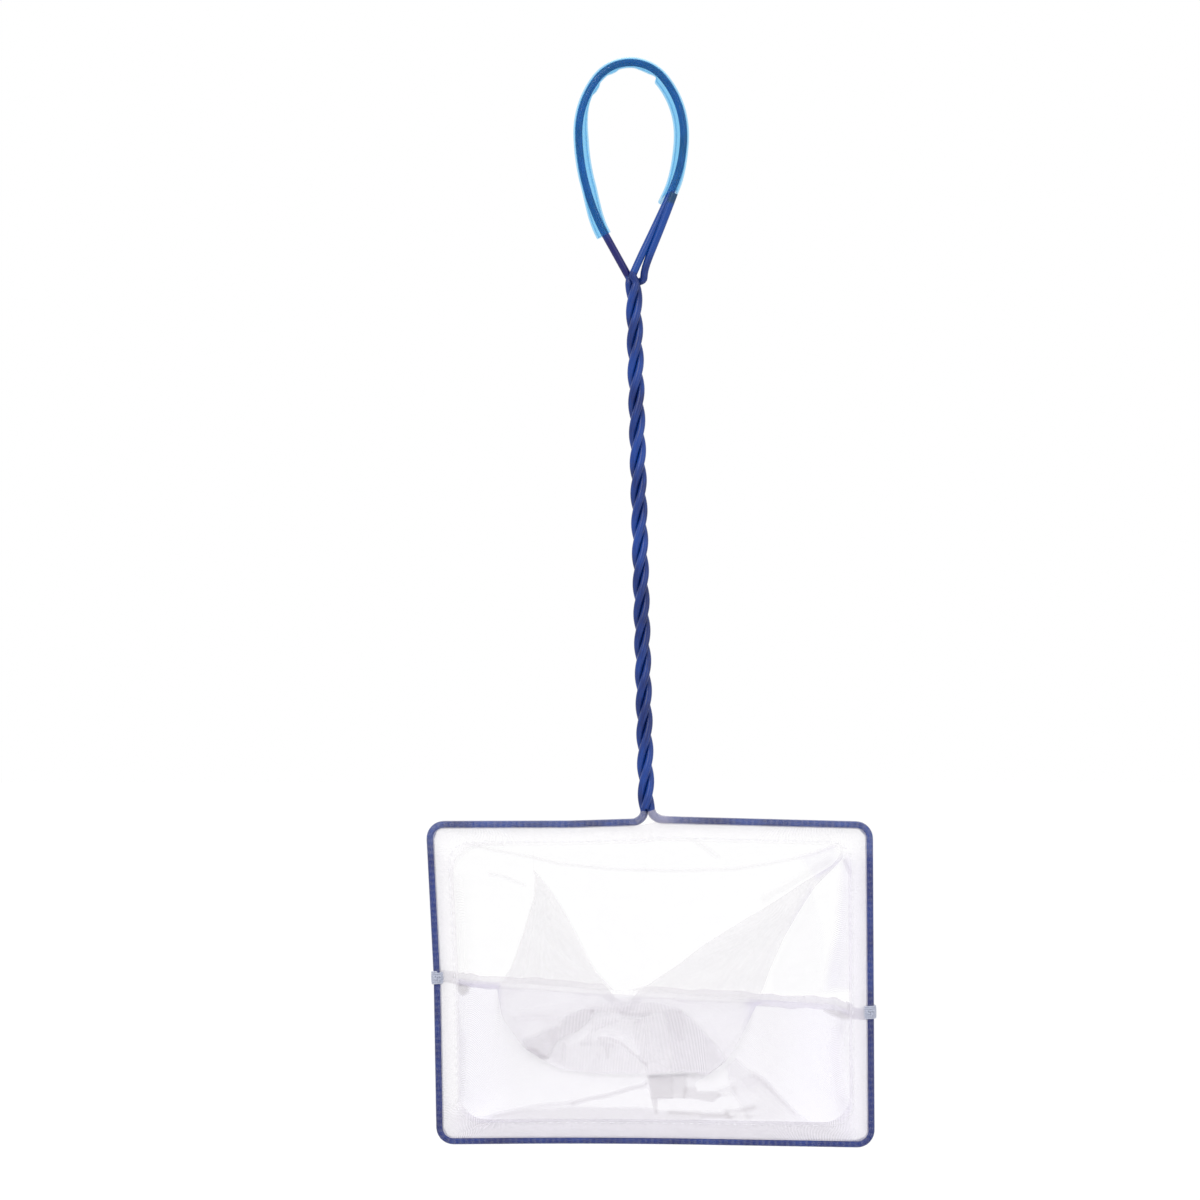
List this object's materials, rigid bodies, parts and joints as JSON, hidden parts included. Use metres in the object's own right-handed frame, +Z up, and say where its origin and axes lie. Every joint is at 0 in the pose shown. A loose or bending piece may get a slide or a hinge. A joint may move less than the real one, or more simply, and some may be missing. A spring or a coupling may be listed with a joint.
{
  "type": "aquarium fish net",
  "caption": "Fish net with a rectangular coated-wire hoop, a twisted wire handle, a sleeved hanging loop and an open mesh bag seamed from an upper and a lower panel.",
  "frame": {"origin": "where a hook bears: the sleeve's inner side at the top of the hanging loop, in the hoop's plane", "axes": "+Z up along the hanging net, +X to the right seen from the open mouth, +Y back from the hoop into the bag"},
  "size_m": [0.1538, 0.0564, 0.3711],
  "materials": {
    "wire_coating": "glossy dark blue coat, slightly see-through",
    "wire_core": "bright drawn wire",
    "clear_sleeve": "clear soft tube with a light blue tint",
    "casing_mesh": "doubled white knitted mesh",
    "bag_mesh": "fine white knitted mesh, see-through",
    "seam_mesh": "turned edges of the mesh, three layers",
    "thread": "white sewing thread"
  },
  "bodies": {
    "root": {"hoop_coating": "wire_coating", "hoop_core": "wire_core", "left_strand_coating": "wire_coating", "left_strand_core": "wire_core", "right_strand_coating": "wire_coating", "right_strand_core": "wire_core", "return_strand_coating": "wire_coating", "return_strand_core": "wire_core", "loop_coating": "wire_coating", "loop_core": "wire_core", "loop_sleeve": "clear_sleeve", "mouth_casing": "casing_mesh", "casing_stitches": "thread", "upper_panel": "bag_mesh", "lower_panel": "bag_mesh", "bag_seam": "seam_mesh", "seam_stitches": "thread", "left_lashing": "thread", "right_lashing": "thread"}
  },
  "joints": []
}
